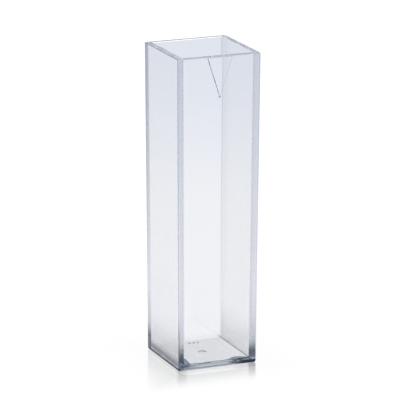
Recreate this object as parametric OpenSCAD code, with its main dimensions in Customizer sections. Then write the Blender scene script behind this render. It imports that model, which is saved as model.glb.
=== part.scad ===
// Macro cuvette: a square sample cell, moulded in one piece of clear plastic.
// The origin is the centre of the base, where the cell stands. +Z points out of the mouth,
// and -Y points out of the optical window that carries the arrow mark.

/* [Body] */
// Outer width across the rim
rim_w = 12.45; // [11.5:0.05:14]
// Outer width across the base, a little less than the rim for draft
base_w = 11.85; // [11:0.05:13]
// Height from the base to the rim
body_h = 45; // [25:0.5:80]
// Radius of the outer upright edges
edge_r = 0.25; // [0.25:0.05:0.8]
// Radius of the edge round the base
foot_r = 0.25; // [0.1:0.05:0.25]
// Edge break round the outside of the rim
rim_break = 0.1; // [0.05:0.01:0.2]

/* [Sample chamber] */
// Thickness of the two side walls, which leaves about 10 mm between them at the floor
side_t = 0.95; // [0.6:0.05:2]
// Thickness of the two windows, the one with the arrow mark and the one behind it
window_t = 0.8; // [0.6:0.05:2]
// Thickness of the floor
floor_t = 0.75; // [0.5:0.05:2]
// Radius of the chamber's upright and floor edges
chamber_r = 0.1; // [0.1:0.05:0.6]
// Edge break round the mouth
mouth_break = 0.2; // [0.05:0.01:0.3]

/* [Arrow mark] */
// Width of the arrow mark along the rim
arrow_w = 3.8; // [2:0.1:6]
// Length of the arrow mark down the window
arrow_l = 5.85; // [4:0.05:9]
// How far the arrow mark stands out of the window
arrow_t = 0.16; // [0.05:0.01:0.25]
// Slope of the arrow mark's sides, in degrees from straight out of the window
arrow_slope = 25; // [0:1:40]
// Radius of the round tip of the arrow mark
arrow_tip_r = 0.16; // [0.1:0.02:0.3]

/* [Moulding marks] */
// Diameter of the gate dimple under the floor
gate_d = 1.25; // [0.8:0.05:2]
// Depth of the gate dimple
gate_depth = 0.2; // [0.05:0.01:0.3]
// Diameter of one cavity dot
dot_d = 0.4; // [0.2:0.05:0.6]
// Depth of a cavity dot
dot_depth = 0.25; // [0.05:0.01:0.3]
// Distance between the centres of the cavity dots
dot_pitch = 0.65; // [0.65:0.05:1]
// Distance of the cavity dots from the back of the base
dot_inset = 1.6; // [1:0.1:3]
// Distance of the row's middle from the centre line
dot_offset = 0.45; // [0:0.05:1]
// Number of cavity dots
dot_count = 3; // [1:1:5]

/* [Hidden] */
clear_plastic = [0.88, 0.91, 0.96, 0.45];
// How far a cut runs past the face that it opens
overrun = 0.5;
$fn = 32;

// Sets its child at four upright edges, at this reach from the axis towards the sides and the windows
module at_edges(side, window) {
    for (x = [-side, side], y = [-window, window]) translate([x, y, 0]) children();
}

// Sets its child at the body's edges, where the body is this wide
module at_body_edges(w) {
    at_edges(w / 2 - edge_r, w / 2 - edge_r) children();
}

// Sets its child at the chamber's edges, where the body is this wide
module at_chamber_edges(w) {
    at_edges(w / 2 - side_t - chamber_r, w / 2 - window_t - chamber_r) children();
}

// The foot of one upright edge: a disc of this radius, its lower edge rounded
module round_foot(r, foot) {
    rotate_extrude() intersection() {
        union() {
            translate([r - foot, foot]) circle(foot);
            translate([-r, 0]) square([2 * r - foot, foot]);
        }
        square([r, foot]);
    }
}

// The solid form of the body: drafted, with a round foot and a broken rim edge
module outer_form() {
    hull() {
        at_body_edges(base_w) round_foot(edge_r, foot_r);
        at_body_edges(rim_w) translate([0, 0, body_h - rim_break])
            cylinder(h = rim_break, r1 = edge_r, r2 = edge_r - rim_break);
    }
}

// The space for the sample: drafted the same way, so that the core pulls out of the mouth
module chamber() {
    hull() {
        translate([0, 0, floor_t]) at_chamber_edges(base_w) round_foot(chamber_r, chamber_r);
        translate([0, 0, body_h]) at_chamber_edges(rim_w) cylinder(h = overrun, r = chamber_r);
    }
    // The broken edge round the mouth flares on past the rim
    hull() at_chamber_edges(rim_w) translate([0, 0, body_h - mouth_break])
        cylinder(h = 2 * mouth_break, r1 = chamber_r, r2 = chamber_r + 2 * mouth_break);
}

// The arrow's outline on the window, with the middle of its rim side at the origin
module arrow_outline() {
    half_w = arrow_w / 2 * (arrow_l + overrun) / arrow_l;
    polygon([[-half_w, overrun], [0, -arrow_l], [half_w, overrun]]);
    translate([0, arrow_tip_r - arrow_l]) circle(arrow_tip_r);
}

// The raised arrow that marks the light path: the body's own form, moved out of the window
// and kept only inside the arrow's outline, which narrows outwards so that the mould lets go
module arrow_mark() {
    to_side = arrow_w / 2 * arrow_l / norm([arrow_w / 2, arrow_l]);
    inside = window_t / 2;
    wide = to_side + inside * tan(arrow_slope);
    narrow = to_side - arrow_t * tan(arrow_slope);
    intersection() {
        translate([0, -arrow_t, 0]) outer_form();
        translate([0, inside - rim_w / 2, body_h]) rotate([90, 0, 0])
            linear_extrude(inside + arrow_t, scale = narrow / wide)
                scale(wide / to_side) arrow_outline();
    }
}

// The dimple that keeps what is left of the gate clear of the bench
module gate_dimple() {
    translate([0, 0, -overrun]) cylinder(h = gate_depth + overrun, d = gate_d);
}

// The row of dots under the back of the base that tells one mould cavity from another
module cavity_dots() {
    for (i = [0 : dot_count - 1])
        translate([dot_offset + (i - (dot_count - 1) / 2) * dot_pitch, base_w / 2 - dot_inset, -overrun])
            cylinder(h = dot_depth + overrun, d = dot_d);
}

module cuvette() {
    color(clear_plastic) difference() {
        union() {
            outer_form();
            arrow_mark();
        }
        chamber();
        gate_dimple();
        cavity_dots();
    }
}

cuvette();
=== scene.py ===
# %% [markdown]
# # A clear plastic cuvette
# A macro cuvette is a square sample cell for a spectrometer. It is moulded in one shot of clear
# polystyrene, so the whole object is one piece: four thin walls, a thin floor, and a small
# arrow that shows which pair of walls the light goes through. The engineering model comes in
# as a fixed frame. The lesson builds a smooth-edged twin of it, then spends its care on the
# thing that makes a clear part look right, which is what the part has around it to refract.

# %% Load the frame
import math

import bmesh
import bpy
from mathutils import Matrix, Vector
from mathutils.bvhtree import BVHTree


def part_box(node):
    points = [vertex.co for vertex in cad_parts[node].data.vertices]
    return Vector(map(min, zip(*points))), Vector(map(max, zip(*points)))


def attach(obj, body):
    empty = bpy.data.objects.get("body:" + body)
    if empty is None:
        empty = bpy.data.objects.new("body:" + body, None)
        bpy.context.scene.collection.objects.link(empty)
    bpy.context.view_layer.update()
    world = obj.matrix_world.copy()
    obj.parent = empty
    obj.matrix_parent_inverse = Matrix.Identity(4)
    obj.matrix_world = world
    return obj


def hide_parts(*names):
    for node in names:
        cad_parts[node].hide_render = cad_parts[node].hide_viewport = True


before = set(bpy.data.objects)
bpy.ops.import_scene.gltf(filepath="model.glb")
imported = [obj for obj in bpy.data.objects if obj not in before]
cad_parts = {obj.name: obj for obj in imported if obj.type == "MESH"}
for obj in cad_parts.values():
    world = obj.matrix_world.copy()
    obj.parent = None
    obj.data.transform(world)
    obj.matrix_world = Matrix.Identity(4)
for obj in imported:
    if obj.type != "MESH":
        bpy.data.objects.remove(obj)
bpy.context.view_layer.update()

MM = 0.001
low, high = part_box("cuvette")
print("CAD box in mm:", [round(v / MM, 3) for v in (*low, *high)])

# %% [markdown]
# ## Reading the sizes off the solid
# The twin has to fill exactly the space of the solid it stands for. Its sizes could be typed in
# again, but then they would drift apart the first time the solid changes. Rays shot at the
# solid's own mesh find the walls and the floor instead, as a caliper would. The walls are
# drafted, so each is measured at two heights and drawn on as a straight line.

# %% Measure the walls and the floor
OFF_CENTRE = 3 * MM
FAR = 100 * MM
HEIGHTS = 5 * MM, 40 * MM
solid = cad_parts["cuvette"].data
surface = BVHTree.FromPolygons([v.co for v in solid.vertices], [p.vertices for p in solid.polygons])


def reach(start, direction):
    """How far the solid is from a point, along a direction."""
    return surface.ray_cast(Vector(start), Vector(direction))[3]


def drafted(half_width):
    """A straight line through two measured half widths, as a function of the height."""
    a, b = (half_width(z) for z in HEIGHTS)
    return lambda z: a + (b - a) * (z - HEIGHTS[0]) / (HEIGHTS[1] - HEIGHTS[0])


outer = drafted(lambda z: FAR - reach((FAR, OFF_CENTRE, z), (-1, 0, 0)))
inner_x = drafted(lambda z: reach((0, OFF_CENTRE, z), (1, 0, 0)))
inner_y = drafted(lambda z: reach((OFF_CENTRE, 0, z), (0, 1, 0)))
rim_z = high.z
floor_z = rim_z / 2 - reach((OFF_CENTRE, 0, rim_z / 2), (0, 0, -1))
arrow_t = -low.y - high.x
gate_depth = reach((0, 0, -FAR), (0, 0, 1)) - FAR
print("half widths in mm: base", round(outer(0) / MM, 3), "rim", round(outer(rim_z) / MM, 3),
      "chamber", *(round(half(floor_z) / MM, 3) for half in (inner_x, inner_y)),
      "mouth", *(round(half(rim_z) / MM, 3) for half in (inner_x, inner_y)))
print("floor", round(floor_z / MM, 3), "arrow", round(arrow_t / MM, 3), "gate", round(gate_depth / MM, 3))

# %% [markdown]
# ## The blank and its core
# A moulder fills the gap between a cavity and a core, and both are drafted, which means a little
# narrower towards the base, so that they part from the plastic. A cube whose top is scaled up
# gives the cavity's side. Insetting the top face, fitting it to the mouth and extruding it down
# to the floor gives the core's side. A Boolean of two blocks would also do it, but this way keeps
# four-sided faces, and one closed surface, which glass needs: a ray has to know at each crossing
# whether it goes into the plastic or out of it.

# %% Block, inset and chamber
bm = bmesh.new()
bmesh.ops.create_cube(bm, size=1)
bmesh.ops.translate(bm, verts=bm.verts, vec=(0, 0, 0.5))
bmesh.ops.scale(bm, verts=bm.verts, vec=(2 * outer(0), 2 * outer(0), rim_z))
top = [v for v in bm.verts if v.co.z > rim_z / 2]
draft = outer(rim_z) / outer(0)
bmesh.ops.scale(bm, verts=top, vec=(draft, draft, 1))

mouth = max(bm.faces, key=lambda f: f.calc_center_median().z)
bmesh.ops.inset_region(bm, faces=[mouth], thickness=outer(rim_z) - inner_x(rim_z), use_even_offset=True)
bmesh.ops.scale(bm, verts=mouth.verts, vec=(1, inner_y(rim_z) / inner_x(rim_z), 1))
pushed = bmesh.ops.extrude_face_region(bm, geom=[mouth])["geom"]
core_end = [g for g in pushed if isinstance(g, bmesh.types.BMVert)]
core_draft = [half(floor_z) / half(rim_z) for half in (inner_x, inner_y)]
bmesh.ops.translate(bm, verts=core_end, vec=(0, 0, floor_z - rim_z))
bmesh.ops.scale(bm, verts=core_end, vec=(*core_draft, 1))
bmesh.ops.delete(bm, geom=[mouth], context="FACES")


def closed():
    return "closed" if all(e.is_manifold for e in bm.edges) else "open"


print("shell:", len(bm.faces), "faces,", closed())

# %% [markdown]
# ## Rounded edges
# No moulded edge is sharp. The outer edges have a real radius, and it matters here, because each
# rounded upright works as a narrow lens. The chamber's edges are crisper. A Bevel modifier would
# round them all alike, so the bevel operator takes each family of edges by itself. Only the new
# strips are shaded smooth. The walls between them stay flat, so that the windows don't bend light.

# %% Bevel the uprights, the foot and the chamber
EDGE_R, FOOT_R, CHAMBER_R = 0.25 * MM, 0.25 * MM, 0.05 * MM
EDGE_STEPS, FOOT_STEPS, CHAMBER_STEPS = 8, 4, 3
NEAR = 0.01 * MM
between_walls = (outer(rim_z / 2) + max(inner_x(rim_z / 2), inner_y(rim_z / 2))) / 2


def round_off(edges, radius, segments):
    """Rounds these edges and shades the new strips smooth. One segment makes a flat chamfer."""
    made = bmesh.ops.bevel(bm, geom=edges, offset=radius, offset_type="OFFSET", segments=segments,
                           profile=0.5, affect="EDGES", clamp_overlap=True, material=-1)
    for f in made["faces"]:
        f.smooth = segments > 1


def middle(edge):
    return (edge.verts[0].co + edge.verts[1].co) / 2


def upright(edge):
    return abs(edge.verts[0].co.z - edge.verts[1].co.z) > rim_z / 2


def level(edge, z):
    return all(abs(v.co.z - z) < NEAR for v in edge.verts)


def in_chamber(edge):
    return max(abs(middle(edge).x), abs(middle(edge).y)) < between_walls


round_off([e for e in bm.edges if upright(e) and not in_chamber(e)], EDGE_R, EDGE_STEPS)
round_off([e for e in bm.edges if level(e, 0)], FOOT_R, FOOT_STEPS)
core_lines = [e for e in bm.edges if upright(e) and in_chamber(e) or level(e, floor_z)]
round_off(core_lines, CHAMBER_R, CHAMBER_STEPS)
print("after the bevels:", len(bm.faces), "faces,", closed())

# %% [markdown]
# ## The rim
# The rim's outer edge is only broken, so that it doesn't cut a glove. Round the mouth runs a small
# flat chamfer that leads a cap in. Both come from the same bevel. They are made after the uprights,
# because the rim's outline then already has its round corners, and the bevel follows them.

# %% Break the rim and chamfer the mouth
RIM_BREAK, MOUTH_BREAK = 0.1 * MM, 0.2 * MM
RIM_STEPS, MOUTH_STEPS = 3, 1
STRAIGHT = 0.99


def on_rim(face):
    return face.normal.z > STRAIGHT and abs(face.calc_center_median().z - rim_z) < NEAR


def rim_lines(side):
    """The rim's edges on one side of the middle of the walls: 1 outside, -1 inside."""
    bm.normal_update()
    lines = [e for e in bm.edges if sum(on_rim(f) for f in e.link_faces) == 1]
    land = (outer(rim_z) + inner_x(rim_z)) / 2
    return [e for e in lines if (max(abs(middle(e).x), abs(middle(e).y)) - land) * side > 0]


round_off(rim_lines(1), RIM_BREAK, RIM_STEPS)
round_off(rim_lines(-1), MOUTH_BREAK, MOUTH_STEPS)
print("after the rim:", len(bm.faces), "faces,", closed())

# %% [markdown]
# ## The arrow mark
# The arrow is a thin triangular pad that hangs from the rim on one optical window. Its sides slope,
# so that the mould lets go of it, and its tip is round, because a cutter made it. A loose wedge
# laid on the wall would leave an inner surface that real plastic doesn't have. So the window's own
# face is split along a bent line, which cuts the pad's outline out of it.

# %% Split the window along the arrow's outline
ARROW_W, ARROW_L, TIP_R = 3.8 * MM, 5.85 * MM, 0.16 * MM
TIP_STEPS = 12
lean = ARROW_W / 2 / ARROW_L
half_w = lean * (ARROW_L - RIM_BREAK)


def frontmost(faces):
    return [f for f in faces if f.normal.y < -STRAIGHT]


bm.normal_update()
window = max(frontmost(bm.faces), key=lambda f: f.calc_area())
upper = max(window.edges, key=lambda e: middle(e).z)
left, right = sorted(upper.verts, key=lambda v: v.co.x)
first = bmesh.utils.edge_split(upper, left, (-half_w - left.co.x) / (right.co.x - left.co.x))[1]
rest = next(e for e in first.link_edges if right in e.verts)
second = bmesh.utils.edge_split(rest, first, 2 * half_w / (right.co.x - first.co.x))[1]
neck = math.pi - 2 * math.atan(lean)
turns = [neck * (2 * i / TIP_STEPS - 1) for i in range(TIP_STEPS + 1)]
tip = [(TIP_R * math.sin(a), TIP_R * (1 - math.cos(a)) + rim_z - ARROW_L) for a in turns]
bmesh.utils.face_split(window, first, second, coords=[(x, -outer(z), z) for x, z in tip])
pad = min((f for f in frontmost(first.link_faces) if second in f.verts), key=lambda f: f.calc_area())
print("arrow's outline:", len(pad.verts), "corners")

# %% [markdown]
# ## Lifting the pad
# Extruding the cut face makes the pad's sides, and moving the new face out gives it its height.
# Scaling that face towards the middle of the rim side slopes the sides evenly. An inset would do
# that too, but it would also pull the pad away from the rim, where the real one ends flush.

# %% Extrude and taper the pad
ARROW_SLOPE = math.radians(25)
raised = bmesh.ops.extrude_face_region(bm, geom=[pad])["geom"]
lifted = [g for g in raised if isinstance(g, bmesh.types.BMVert)]
bmesh.ops.translate(bm, verts=lifted, vec=(0, -arrow_t, 0))
to_side = ARROW_W / 2 * ARROW_L / math.hypot(ARROW_W / 2, ARROW_L)
taper = 1 - arrow_t * math.tan(ARROW_SLOPE) / to_side
bmesh.ops.scale(bm, verts=lifted, vec=(taper, 1, taper), space=Matrix.Translation((0, 0, -rim_z)))
bmesh.ops.delete(bm, geom=[pad], context="FACES")
print("arrow lifted,", closed())

# %% [markdown]
# ## The gate and the cavity dots
# The plastic enters the mould under the floor, so what is left of the gate sits in a shallow round
# dimple there, and a row of dots tells one cavity of the mould from another. A face can't have a
# hole in it, so the base is taken out and filled again with triangles between its outline and
# four circles. Each circle's edge is then extruded up into the floor and closed.

# %% Sink the round recesses
GATE_W, DOT_W, DOT_DEPTH, DOT_PITCH = 1.25 * MM, 0.4 * MM, 0.25 * MM, 0.65 * MM
DOT_ROW = Vector((0.45 * MM, 4.325 * MM, 0))
CIRCLE = 32
FLAT = 0.999
recesses = [(Vector((0, 0, 0)), GATE_W, gate_depth)]
recesses += [(DOT_ROW + Vector((i * DOT_PITCH, 0, 0)), DOT_W, DOT_DEPTH) for i in (-1, 0, 1)]

bm.normal_update()
base = max((f for f in bm.faces if f.normal.z < -FLAT), key=lambda f: f.calc_area())
outlines = [list(base.edges)]
bmesh.ops.delete(bm, geom=[base], context="FACES_ONLY")
for centre, width, _ in recesses:
    circle = bmesh.ops.create_circle(bm, radius=width / 2, segments=CIRCLE,
                                     matrix=Matrix.Translation(centre))
    outlines.append(list(dict.fromkeys(e for v in circle["verts"] for e in v.link_edges)))
bmesh.ops.triangle_fill(bm, use_beauty=True, edges=sum(outlines, []), normal=(0, 0, -1))
for (_, _, depth), outline in zip(recesses, outlines[1:]):
    sunk = bmesh.ops.extrude_edge_only(bm, edges=outline)["geom"]
    corners = [g for g in sunk if isinstance(g, bmesh.types.BMVert)]
    bmesh.ops.translate(bm, verts=corners, vec=(0, 0, depth))
    ends = [g for g in sunk if isinstance(g, bmesh.types.BMEdge) and level(g, depth)]
    bmesh.ops.edgeloop_fill(bm, edges=ends)
print("recesses sunk:", len(recesses), "of them,", closed())

# %% [markdown]
# ## One object for the solid
# All faces have to point outwards, or the glass turns inside out, so the normals are worked out
# once more at the end. The strips that lie flat lose their smooth shading again, which keeps
# the windows plane. The mesh then becomes the object that is shown in the solid's place.

# %% Make the moulded cell
bmesh.ops.recalc_face_normals(bm, faces=bm.faces)
for f in bm.faces:
    f.smooth = f.smooth and max(abs(v) for v in f.normal) < FLAT
volume = bm.calc_volume(signed=True)
mesh = bpy.data.meshes.new("moulded_cell")
bm.to_mesh(mesh)
bm.free()
cell = bpy.data.objects.new("moulded_cell", mesh)
bpy.context.scene.collection.objects.link(cell)
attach(cell, "root")
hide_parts("cuvette")
print("moulded_cell:", len(mesh.polygons), "faces, volume in mm3", round(volume / MM**3, 1))

# %% [markdown]
# ## Sums on sockets
# A mask such as "this face looks sideways" is a formula. Wired by hand it takes a dozen Math nodes,
# so a small class lets Python's own operators add them. Soft steps come up all the time, so they
# have two methods: between rises from 0 to 1, and until falls from 1 to 0.

# %% A value in a node tree
class Value:
    """One output socket, which takes part in sums."""

    def __init__(self, socket):
        self.socket = socket

    def math(self, operation, *others):
        tree = Nodes(self.socket.id_data)
        return tree.add("ShaderNodeMath", {"operation": operation}, dict(enumerate((self, *others))))

    def __add__(self, other):
        return self.math("ADD", other)

    def __sub__(self, other):
        return self.math("SUBTRACT", other)

    def __rsub__(self, other):
        return (self * -1) + other

    def __mul__(self, other):
        return self.math("MULTIPLY", other)

    def __abs__(self):
        return self.math("ABSOLUTE")

    __radd__ = __add__
    __rmul__ = __mul__

    def between(self, start, end):
        """0 below start, 1 above end, and a soft step between them."""
        tree = Nodes(self.socket.id_data)
        return tree.add("ShaderNodeMapRange", {"interpolation_type": "SMOOTHSTEP"}, {
            "Value": self, "From Min": start, "From Max": end})

    def until(self, start, end):
        """1 below start, 0 above end, and a soft step between them."""
        return 1 - self.between(start, end)


def most(first, *others):
    """The largest of several values."""
    for other in others:
        first = first.math("MAXIMUM", other)
    return first


print("sums ready")

# %% [markdown]
# ## Adding nodes
# Every other node comes from one method. It makes the node, sets what the node's panel would set, and
# only then fills the sockets, because a setting can change which sockets a node has. The stops of a
# colour ramp are such a setting too. New stops all start halfway along and then move to their places.

# %% A node tree
class Nodes:
    """A node tree that nodes are added to."""
    HALFWAY = 0.5

    def __init__(self, tree):
        self.tree = tree

    def add(self, kind, settings=None, sockets=None, out=0):
        """Adds one node: its settings first, then its sockets by name or number."""
        node = self.tree.nodes.new(kind)
        for name, value in (settings or {}).items():
            if name == "stops":
                ramp = node.color_ramp
                while len(ramp.elements) < len(value):
                    ramp.elements.new(self.HALFWAY)
                for element, (place, colour) in zip(ramp.elements, value):
                    element.position, element.color = place, (*colour, 1)
            else:
                setattr(node, name, value)
        for name, value in (sockets or {}).items():
            if isinstance(value, Value):
                self.tree.links.new(value.socket, node.inputs[name])
            else:
                node.inputs[name].default_value = value
        return Value(node.outputs[out]) if node.outputs else None


def fresh(owner):
    """The emptied node tree of a material or a world."""
    owner.use_nodes = True
    owner.node_tree.nodes.clear()
    return Nodes(owner.node_tree)


print("nodes ready")

# %% [markdown]
# ## Clear polystyrene
# The whole cell is one plastic, so it is one material, and masks say where it differs. Each is a
# formula in the point's place and in the way that its face looks. Painted textures could do the
# same, but they would have to be painted again for each change of size. Blender turns the normal
# round when a ray meets a face from inside the plastic. So a mask for one wall also asks whether
# the point lies in the outer skin on that side.

# %% Where a point is and which way it faces
SIDE_TURN, UP_TURN, FOOT_TURN, FACE_TURN = (0.35, 0.85), (0.5, 0.9), (0.1, 0.4), (0.1, 0.5)
SKIN = 0.3 * MM, 0.5 * MM
plastic = bpy.data.materials.new("clear_plastic")
n = fresh(plastic)
place = n.add("ShaderNodeTexCoord", out="Object")
facing = n.add("ShaderNodeTexCoord", out="Normal")
px, py, height = (n.add("ShaderNodeSeparateXYZ", None, {0: place}, axis) for axis in "XYZ")
nx, ny, nz = (n.add("ShaderNodeSeparateXYZ", None, {0: facing}, axis) for axis in "XYZ")
from_left, from_front = px + outer(0), py + outer(0)


def past(line, across):
    """How far a point is past a drafted wall, measured across it."""
    return abs(across) - line(0) - height * ((line(rim_z) - line(0)) / rim_z)


sideways = abs(nx).between(*SIDE_TURN)
upward = nz.between(*UP_TURN)
on_foot = (nz * -1).between(*FOOT_TURN)
front_face = (ny * -1).between(*FACE_TURN) * from_front.until(*SKIN)
left_face = (nx * -1).between(*FACE_TURN) * from_left.until(*SKIN)
print("masks ready:", len(plastic.node_tree.nodes), "nodes")

# %% [markdown]
# ## Polished windows and satin sides
# The light goes through the two windows, so the mould is polished there. The side walls and the rim
# are only drawn to a satin finish, with faint upright marks where the core was pulled, and the sides
# blush near the gate. The windows are scuffed along the foot, where cells rub in a rack. Noise that
# is stretched upright makes the marks. A second material for the sides would draw a hard seam
# along each edge, so the roughness of the one material changes instead.

# %% Roughness and draw marks
POLISH, SATIN, BLUSH, SCUFF = 0.02, 0.1, 0.2, 0.3
RIM_LAND = rim_z - 2 * RIM_BREAK, rim_z - RIM_BREAK
MARKS_SCALE, MARKS_DEPTH, NOISE_MEAN = (2200, 2200, 60), 0.03, 0.5
BLUSH_TOP, SCUFF_TOP = (0, 8 * MM), (0.45 * MM, 0.8 * MM)
WINDOW_TURN, SCUFF_END, SCUFF_LOSS = (0.5, 0.9), (1 * MM, 3.5 * MM), 0.85
satin = most(sideways, upward * height.between(*RIM_LAND))
drawn = n.add("ShaderNodeMapping", {"vector_type": "POINT"}, {"Vector": place, "Scale": MARKS_SCALE})
marks = n.add("ShaderNodeTexNoise", None, {"Vector": drawn, "Scale": 1.0, "Detail": 3.0}, "Fac")
blush = height.until(*BLUSH_TOP) * sideways
scuff = abs(ny).between(*WINDOW_TURN) * height.until(*SCUFF_TOP)
scuff = scuff * (1 - px.between(*SCUFF_END) * SCUFF_LOSS)
drawn_rough = satin * (SATIN - POLISH + (marks - NOISE_MEAN) * MARKS_DEPTH)
rough = POLISH + scuff * SCUFF + (drawn_rough + blush * BLUSH) * (1 - on_foot)
bump = n.add("ShaderNodeBump", None, {
    "Strength": 0.01, "Distance": 0.02 * MM, "Height": marks * satin})
print("finish ready:", len(plastic.node_tree.nodes), "nodes")

# %% [markdown]
# ## Painted shade on the corner posts
# Light that enters a wall edge-on runs along inside it and leaves through the far side, and near the
# base the corner posts look dark. Smoke in the volume could darken them too, but it is slow and noisy.
# A dark base colour where that light goes in paints that shade instead, because a glass shader tints
# each ray that crosses it. The left face has painted shade along its foot as well, and all the sides
# are a little darker towards the bottom.

# %% Painted shade on the posts and the skirt, and darker low sides
POST_INSET, POST_SOFT = 0.2 * MM, (-0.08 * MM, 0.08 * MM)
BACK_INSET, BACK_SOFT, BACK_HALF = 0.65 * MM, (-0.1 * MM, 0.1 * MM), (0, 1 * MM)
LOW_TILT, LOW_TOP, TAIL, TAIL_TOP = 0.065, (1.4 * MM, 5.6 * MM), 0.36, (5 * MM, 15 * MM)
CLEAR_TILT, CLEAR_TOP = 0.05, (0.3 * MM, 0.8 * MM)
BACK_AT_RIM = 0.576
SKIRT, SKIRT_FOOT, SKIRT_TOP = 0.8, (0.5 * MM, 0.9 * MM), (1 * MM, 2.2 * MM)
LOW_SIDE_DARK, LOW_SIDE_TOP = 0.05, (4 * MM, 16 * MM)
# painted shade on the front posts and on the far post seen through the left face, darkest near the base
front_posts = front_face * past(inner_x, px + POST_INSET).between(*POST_SOFT)
back_post = left_face * past(inner_y, py + BACK_INSET).between(*BACK_SOFT) * py.between(*BACK_HALF)
low_end = (height + px * LOW_TILT).until(*LOW_TOP) * (height - px * CLEAR_TILT).between(*CLEAR_TOP)
low_end = most(low_end, height.until(*TAIL_TOP) * TAIL)
posts = most(front_posts * low_end, back_post * most(low_end, height * (BACK_AT_RIM / rim_z)))
# painted shade along the foot of the left face
skirt = left_face * height.between(*SKIRT_FOOT) * height.until(*SKIRT_TOP) * SKIRT
# the sides are a little darker towards the bottom
darker_low_sides = sideways * height.until(*LOW_SIDE_TOP) * LOW_SIDE_DARK
print("posts ready:", len(plastic.node_tree.nodes), "nodes")

# %% [markdown]
# ## The dark wavy line along the foot
# Just above the foot, the front is darker along a thin wavy line, with a thicker patch towards the
# right and a corner of it at the left. Noise that changes only along the wall bends a level line, and a
# swell makes that line thick where the patches are. Modelled in the mesh it would need far more
# faces, for something less than a millimetre high.

# %% Wavy line and patches
WAVE_SCALE, WAVE_RISE = (700, 0, 0), 0.5 * MM
LINE, LINE_Z, LINE_SOFT = 0.95, 0.92 * MM, (0.02 * MM, 0.08 * MM)
PATCH, PATCH_START, PATCH_END, PATCH_LOSS = 0.28 * MM, (1.2 * MM, 3 * MM), (3.3 * MM, 4.2 * MM), 0.7
CORNER, CORNER_END = 0.9 * MM, (-5.1 * MM, -4 * MM)
CORNER_EDGE, CORNER_FOOT = (-4.5 * MM, -3.9 * MM), (0.4 * MM, 0.6 * MM)
along = n.add("ShaderNodeMapping", {"vector_type": "POINT"}, {"Vector": place, "Scale": WAVE_SCALE})
wave = n.add("ShaderNodeTexNoise", None, {"Vector": along, "Scale": 1.0, "Detail": 2.0}, "Fac")
patch = px.between(*PATCH_START) * (1 - px.between(*PATCH_END) * PATCH_LOSS) * PATCH
swell = patch + px.until(*CORNER_END) * CORNER
from_line = abs(height - LINE_Z - (wave - NOISE_MEAN) * WAVE_RISE) - swell
allowed = most(px.between(*CORNER_EDGE), height.between(*CORNER_FOOT))
wavy_line = front_face * from_line.until(*LINE_SOFT) * allowed * LINE
print("ripple ready:", len(plastic.node_tree.nodes), "nodes")

# %% [markdown]
# ## Painted shade on faint lines
# Three lines are so fine that the render loses them: the edge of the floor along the side walls, the
# arrow's right side, which turns away from the light, and the soft band beside the far corner. The
# geometry has each of them, and a little painted shade in the same dark colour brings them out.

# %% Painted shade at the floor edge, arrow side and far corner, and all the dark masks together
FLOOR_SHADE, FLOOR_SHADE_IN, FLOOR_SHADE_WIDE, FLOOR_SHADE_HIGH = 0.7, 0.05 * MM, (0.06 * MM, 0.16 * MM), (0.1 * MM, 0.2 * MM)
STROKE, STROKE_WIDE, STROKE_START = 0.55, (0.02 * MM, 0.1 * MM), 0.95
BAND, BAND_X, BAND_Y = 0.07, (4 * MM, 4.5 * MM), (3.3 * MM, 4.3 * MM)
# the dark blue colour paints the shade and the dark wavy line
CLEAR, DARK_BLUE = (1, 1, 1, 1), (0.03, 0.065, 0.135, 1)
at_wall = abs(past(inner_x, px) + FLOOR_SHADE_IN).until(*FLOOR_SHADE_WIDE)
# painted shade along the floor's edge at the side walls
floor_edge = at_wall * abs(height - floor_z).until(*FLOOR_SHADE_HIGH) * FLOOR_SHADE
from_stroke = abs(px - (height - rim_z + ARROW_L) * lean)
below_rim = height.between(rim_z - ARROW_L, rim_z - STROKE_START * ARROW_L)
# painted shade on the arrow's right side
stroke = front_face * from_stroke.until(*STROKE_WIDE) * below_rim * STROKE
# a painted band of shade beside the far corner
far_corner = sideways * px.between(*BAND_X) * py.between(*BAND_Y) * BAND
# all the painted shade, the dark wavy line and the darker low sides, in one mask
darkening_mask = most(posts, skirt, floor_edge, wavy_line, stroke, darker_low_sides, far_corner)
base_colour = n.add("ShaderNodeMix", {"data_type": "RGBA"}, {0: darkening_mask, 6: CLEAR, 7: DARK_BLUE}, 2)
print("cloud ready:", len(plastic.node_tree.nodes), "nodes")

# %% [markdown]
# ## Painted shadow along the foot
# Where the foot meets the table, a thin dark line is painted as its shadow at the left and, more and
# more towards the right, along the front. Above that line part of the front has a pale band. Both are
# plain diffuse shaders, not glass, and the masks mix them in. Roughness alone would stay clear, and
# so it could never give a dark line.

# %% Painted foot shadow and pale band
SHADOW_TOP, SHADOW_DEEP = (0.3 * MM, 0.42 * MM), (0.2 * MM, 0.3 * MM)
SHADOW_LEFT, SHADOW_FRONT, SHADOW_MORE = 0.95, 0.3, 0.62
SHADOW_RIGHT, SHADOW_RISE = (2.2 * MM, 4.2 * MM), 0.18 * MM
PALE_BAND, PALE_FOOT, PALE_TOP = 0.4, (0.27 * MM, 0.35 * MM), (0.6 * MM, 0.72 * MM)
PALE_START, PALE_END = (-5 * MM, -2.5 * MM), (1.2 * MM, 2.4 * MM)
to_right = px.between(*SHADOW_RIGHT)
# painted shadow where the foot meets the table, at the left
left_foot_shadow = height.until(*SHADOW_TOP) * from_left.until(*SHADOW_DEEP) * SHADOW_LEFT
# and along the front, stronger towards the right
front_foot_shadow = (height - to_right * SHADOW_RISE).until(*SHADOW_TOP) * from_front.until(*SHADOW_DEEP) * (
    SHADOW_FRONT + to_right * SHADOW_MORE)
pale_band_high = height.between(*PALE_FOOT) * height.until(*PALE_TOP)
pale_band = front_face * pale_band_high * px.between(*PALE_START) * px.until(*PALE_END) * PALE_BAND
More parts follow.
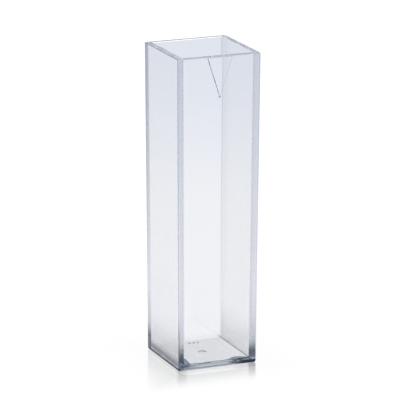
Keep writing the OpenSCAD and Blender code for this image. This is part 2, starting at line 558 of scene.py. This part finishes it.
# the dark colour of the painted foot shadow
foot_shadow = n.add("ShaderNodeBsdfDiffuse", None, {"Color": (0.015, 0.025, 0.05, 1)})
pale_diffuse = n.add("ShaderNodeBsdfDiffuse", None, {"Color": (0.8, 0.85, 0.92, 1)})
print("foot ready:", len(plastic.node_tree.nodes), "nodes")

# %% [markdown]
# ## Glints
# The chamfer of the mouth and the front upright each catch the lamp of the real room as a thin bright
# line. A lamp in this scene would add light to the whole part and to the floor, and a clear part would
# show the lamp itself several times over. A little emission on just those edges draws the lines alone.

# %% The chamfer and the front upright
CHAMFER_TURN, CHAMFER_FLAT, CHAMFER_OUT = (0.4, 0.6), (0.8, 0.95), (0.25 * MM, 0.3 * MM)
CHAMFER_Z = rim_z - 1.5 * MOUTH_BREAK, rim_z - MOUTH_BREAK
SIDE_GLINT, BACK_GLINT, BACK_TURN = 0.5, 0.45, (0.3, 0.6)
EDGE_GLINT, EDGE_TURN, EDGE_NEAR, EDGE_FOOT = 0.11, (0.05, 0.3), (0.5 * MM, 0.8 * MM), (5 * MM, 8 * MM)
near_mouth = most(past(inner_x, px), past(inner_y, py)).until(*CHAMFER_OUT)
lead_in = nz.between(*CHAMFER_TURN) * nz.until(*CHAMFER_FLAT) * height.between(*CHAMFER_Z) * near_mouth
on_edge = abs(nx * ny).between(*EDGE_TURN)
lit_edge = on_edge * (from_left + from_front).until(*EDGE_NEAR) * height.between(*EDGE_FOOT)
glint = lead_in * (SIDE_GLINT + abs(ny).between(*BACK_TURN) * BACK_GLINT) + lit_edge * EDGE_GLINT
print("glints ready:", len(plastic.node_tree.nodes), "nodes")

# %% [markdown]
# ## All of the plastic together
# Polystyrene bends light strongly, with an index of 1.59. Full transmission on a Principled shader
# makes it glass, and the masks fill in its painted shade, dark lines, roughness and glints. The plastic
# also takes up a little red light over a long way. Absorption in the volume does that, so the walls stay
# clear across and turn blue-grey along, which a tint on the surface can't do.

# %% Mix the shaders
INDEX = 1.59
clear = n.add("ShaderNodeBsdfPrincipled", None, {
    "Base Color": base_colour, "Transmission Weight": 1.0, "IOR": INDEX, "Roughness": rough,
    "Normal": bump, "Emission Color": glint, "Emission Strength": 1.0})
# mixes in the painted foot shadow
shader = n.add("ShaderNodeMixShader", None, {0: most(left_foot_shadow, front_foot_shadow), 1: clear, 2: foot_shadow})
shader = n.add("ShaderNodeMixShader", None, {0: pale_band, 1: shader, 2: pale_diffuse})
tint = n.add("ShaderNodeVolumeAbsorption", None, {"Color": (0.0, 0.17, 0.56, 1), "Density": 4.5})
n.add("ShaderNodeOutputMaterial", None, {"Surface": shader, "Volume": tint})
mesh.materials.append(plastic)
print("plastic:", len(plastic.node_tree.nodes), "nodes")

# %% [markdown]
# ## The light table
# A clear part has no colour of its own to show. What it shows is its surroundings, bent. The cell
# stands on a white glossy table in a dim room. Rays that go straight through reach the white
# table behind, and rays that a wall turns aside reach dimmer parts of the table or the dark room, and
# that is what draws the grey corner strips and the dark base. A wide disc is enough for a table.
# It lies a hair below the cell, because two faces in one plane would flicker.

# %% The table
TABLE_R, TABLE_SIDES, TABLE_GAP = 6, 96, 0.02 * MM
bm = bmesh.new()
bmesh.ops.create_circle(bm, cap_ends=True, radius=TABLE_R, segments=TABLE_SIDES,
                        matrix=Matrix.Translation((0, 0, -TABLE_GAP)))
table_mesh = bpy.data.meshes.new("light_table")
bm.to_mesh(table_mesh)
bm.free()
table = bpy.data.objects.new("light_table", table_mesh)
bpy.context.scene.collection.objects.link(table)
print("light_table:", 2 * TABLE_R, "m wide")

# %% [markdown]
# ## The light that the cell sees
# The table is brightest under the cell and falls off away from it, in four soft lobes, so a ray that is
# bent far to one side comes back greyer. Close to the cell it is darker: a ring where the foot
# touches, and a shade behind the back wall. Lamps and shadows could make all this, but each change
# of one would move the rest. A glow that depends on the place can be set part by part.

# %% Glow
LOBES, LOBE_TURN, LOBE_DIP, LOBE_FROM = 4, math.radians(23), 0.1, (12 * MM, 60 * MM)
RING_IN, RING_WIDE, RING, RING_SEEN = 0.4 * MM, (0.15 * MM, 0.25 * MM), 0.85, 0.7
RING_BACK, RING_FRONT, RING_FRONT_LOSS = (4.6 * MM, 5 * MM), (-5 * MM, -4.6 * MM), 0.5
UNDER, UNDER_END = 0.09, (6 * MM, 10 * MM)
SHADE, SHADE_START, SHADE_END = 0.12, (0, 0.5 * MM), (1 * MM, 6 * MM)
white = bpy.data.materials.new("white_table")
n = fresh(white)
spot = n.add("ShaderNodeTexCoord", out="Object")
x, y = (n.add("ShaderNodeSeparateXYZ", None, {0: spot}, axis) for axis in "XY")
distance = n.add("ShaderNodeVectorMath", {"operation": "LENGTH"}, {0: spot}, "Value")
glossy = n.add("ShaderNodeLightPath", out="Is Glossy Ray")
reflected = glossy * (1 - n.add("ShaderNodeLightPath", out="Is Transmission Ray"))
lobes = ((x.math("ARCTAN2", y) - LOBE_TURN) * LOBES).math("COSINE")
dips = distance.between(*LOBE_FROM) * (1 - reflected) * (lobes - 1) * LOBE_DIP
beside, behind = most(abs(x), abs(y)) - outer(0), y - outer(0)
ring = abs(beside + RING_IN).until(*RING_WIDE) * y.until(*RING_BACK)
ring = ring * (1 - y.until(*RING_FRONT) * RING_FRONT_LOSS)
shade = behind.between(*SHADE_START) * behind.until(*SHADE_END)
strength = (1 + dips + distance.until(*UNDER_END) * UNDER) * (1 - ring * RING) * (1 - shade * SHADE)
print("glow ready:", len(white.node_tree.nodes), "nodes")

# %% [markdown]
# ## The colour of the table's glow
# With the distance the table's glow turns from white to a pale blue-grey. A colour ramp holds that, and
# Vector Math scales it, because a Math node would turn the colour grey.

# %% Fade
SPAN = 300 * MM
fade = n.add("ShaderNodeValToRGB", {"stops": [
    (0.0, (0.96, 0.97, 1.0)),
    (0.05, (0.91, 0.917, 0.95)),
    (0.11, (0.895, 0.903, 0.94)),
    (0.17, (0.91, 0.918, 0.95)),
    (0.3, (0.89, 0.905, 0.94)),
    (0.52, (0.796, 0.825, 0.892)),
    (1.0, (0.705, 0.745, 0.835))]}, {0: distance * (1 / SPAN)}, "Color")
dimmed = n.add("ShaderNodeVectorMath", {"operation": "SCALE"}, {0: fade, "Scale": strength})
glow = n.add("ShaderNodeEmission", None, {"Color": dimmed, "Strength": 1.0})
print("fade over", round(SPAN / MM), "mm")

# %% [markdown]
# ## What the camera sees of the table
# To the camera the table is plain white, with a soft shadow and a weak mirror image close to the cell.
# A polished table could give both, but it would also mirror the dim room. The mirror image is a little
# stronger in two stripes that run towards the camera, below the front upright and the right one.
# Further off, the table glows slightly over white, because the noise filter dims the border of a
# picture that is only just white. Is Camera Ray keeps all this apart from what the plastic sees.

# %% Shadow and mirror image
AZIMUTH = math.radians(-22.92)
CLOSE, MATT, MIRROR, MIRROR_RISE = (0, 8 * MM), 0.06, 0.28, 2
STRIPES = (-2.7 * MM, 0.2), (7.3 * MM, 0.3)
STRIPE_WIDE = 0.4 * MM, 0.9 * MM
WHITER, WHITER_FROM = 0.1, (8 * MM, 20 * MM)
# the ring where the foot touches is painted into the white as a shadow
shown = 1 - ring * RING_SEEN + beside.between(*WHITER_FROM) * WHITER
plain = n.add("ShaderNodeEmission", None, {"Color": shown, "Strength": 1.0})
matt = n.add("ShaderNodeBsdfDiffuse", None, {"Color": (0.9, 0.9, 0.9, 1)})
mirror = n.add("ShaderNodeBsdfGlossy", None, {"Color": (0.96, 0.975, 1, 1), "Roughness": 0.08})
close = beside.until(*CLOSE)
across = x * math.cos(AZIMUTH) + y * math.sin(AZIMUTH)
mirrored = MIRROR + x * MIRROR_RISE
for stripe, gain in STRIPES:
    mirrored = mirrored + abs(across - stripe).until(*STRIPE_WIDE) * gain
lit = n.add("ShaderNodeMixShader", None, {0: close * MATT, 1: plain, 2: matt})
seen = n.add("ShaderNodeMixShader", None, {0: close * mirrored, 1: lit, 2: mirror})
camera_ray = n.add("ShaderNodeLightPath", out="Is Camera Ray")
both = n.add("ShaderNodeMixShader", None, {0: camera_ray, 1: glow, 2: seen})
n.add("ShaderNodeOutputMaterial", None, {"Surface": both})
table_mesh.materials.append(white)
print("light table:", len(white.node_tree.nodes), "nodes")

# %% [markdown]
# ## The room
# Behind the table is a white backdrop, and above it a dim room. Light that the plastic sends upwards
# meets that room, which draws the dark lines along its edges. A studio could be modelled instead, but
# three backgrounds are enough: one for the camera, one for what the surfaces mirror, which is bright
# all round, and one for what the plastic bends, which is bright low down and straight above only.

# %% World
world = bpy.data.worlds.new("room")
bpy.context.scene.world = world
n = fresh(world)
direction = n.add("ShaderNodeTexCoord", out="Generated")
rise = n.add("ShaderNodeSeparateXYZ", None, {0: direction}, "Z")
dim_room = n.add("ShaderNodeValToRGB", {"stops": [
    (0.0, (0.95, 0.96, 1.0)),
    (0.06, (0.9, 0.92, 1.0)),
    (0.14, (0.05, 0.07, 0.1)),
    (0.5, (0.06, 0.08, 0.11)),
    (0.85, (0.8, 0.82, 0.85))]}, {0: rise}, "Color")
bright_room = n.add("ShaderNodeValToRGB", {"stops": [
    (0.0, (0.84, 0.9, 1)),
    (0.235, (0.84, 0.9, 1)),
    (0.28, (1, 1, 1))]}, {0: rise}, "Color")
backdrop = n.add("ShaderNodeBackground", None, {"Color": (1, 1, 1, 1), "Strength": 1.0})
bright = n.add("ShaderNodeBackground", None, {"Color": bright_room, "Strength": 1.0})
dim = n.add("ShaderNodeBackground", None, {"Color": dim_room, "Strength": 1.0})
glossy = n.add("ShaderNodeLightPath", out="Is Glossy Ray")
bent = n.add("ShaderNodeLightPath", out="Is Transmission Ray")
sky = n.add("ShaderNodeMixShader", None, {0: glossy, 1: backdrop, 2: bright})
sky = n.add("ShaderNodeMixShader", None, {0: bent, 1: sky, 2: dim})
n.add("ShaderNodeOutputWorld", None, {"Surface": sky})
print("room:", len(world.node_tree.nodes), "nodes")

# %% [markdown]
# ## Camera and light paths
# The camera was fitted to the outline of the cell and to its rim lines. A long lens from half a
# metre away keeps the uprights almost parallel. Light crosses many surfaces on its way through a
# clear part, and a path that is cut short turns black, so the limits on bounces go up.

# %% Camera
ELEVATION, ROLL = math.radians(15.30), math.radians(0.18)
IMAGE_W, FOCAL_PX, SENSOR = 415, 3315, 36
AWAY, ASIDE, UP = 467.8 * MM, 0.797 * MM, 21.859 * MM
BOUNCES = 48
ahead = Vector((math.sin(AZIMUTH), -math.cos(AZIMUTH), 0))
back = ahead * math.cos(ELEVATION) + Vector((0, 0, math.sin(ELEVATION)))
aim = Vector((ASIDE * math.cos(AZIMUTH), ASIDE * math.sin(AZIMUTH), UP))
level_right = (-back).cross(Vector((0, 0, 1))).normalized()
level_up = level_right.cross(-back)
right = level_right * math.cos(ROLL) + level_up * math.sin(ROLL)
up = level_up * math.cos(ROLL) - level_right * math.sin(ROLL)
lens = bpy.data.cameras.new("camera")
lens.sensor_width, lens.sensor_fit, lens.lens = SENSOR, "HORIZONTAL", SENSOR * FOCAL_PX / IMAGE_W
lens.clip_start = 0.01
camera = bpy.data.objects.new("camera", lens)
turn = Matrix((right, up, back)).transposed().to_4x4()
camera.matrix_world = Matrix.Translation(aim + back * AWAY) @ turn
scene = bpy.context.scene
scene.collection.objects.link(camera)
scene.camera = camera
scene.view_settings.view_transform = "Standard"
scene.cycles.max_bounces = BOUNCES
scene.cycles.transmission_bounces = BOUNCES
scene.cycles.glossy_bounces = BOUNCES
print("camera at", [round(v, 4) for v in camera.location])
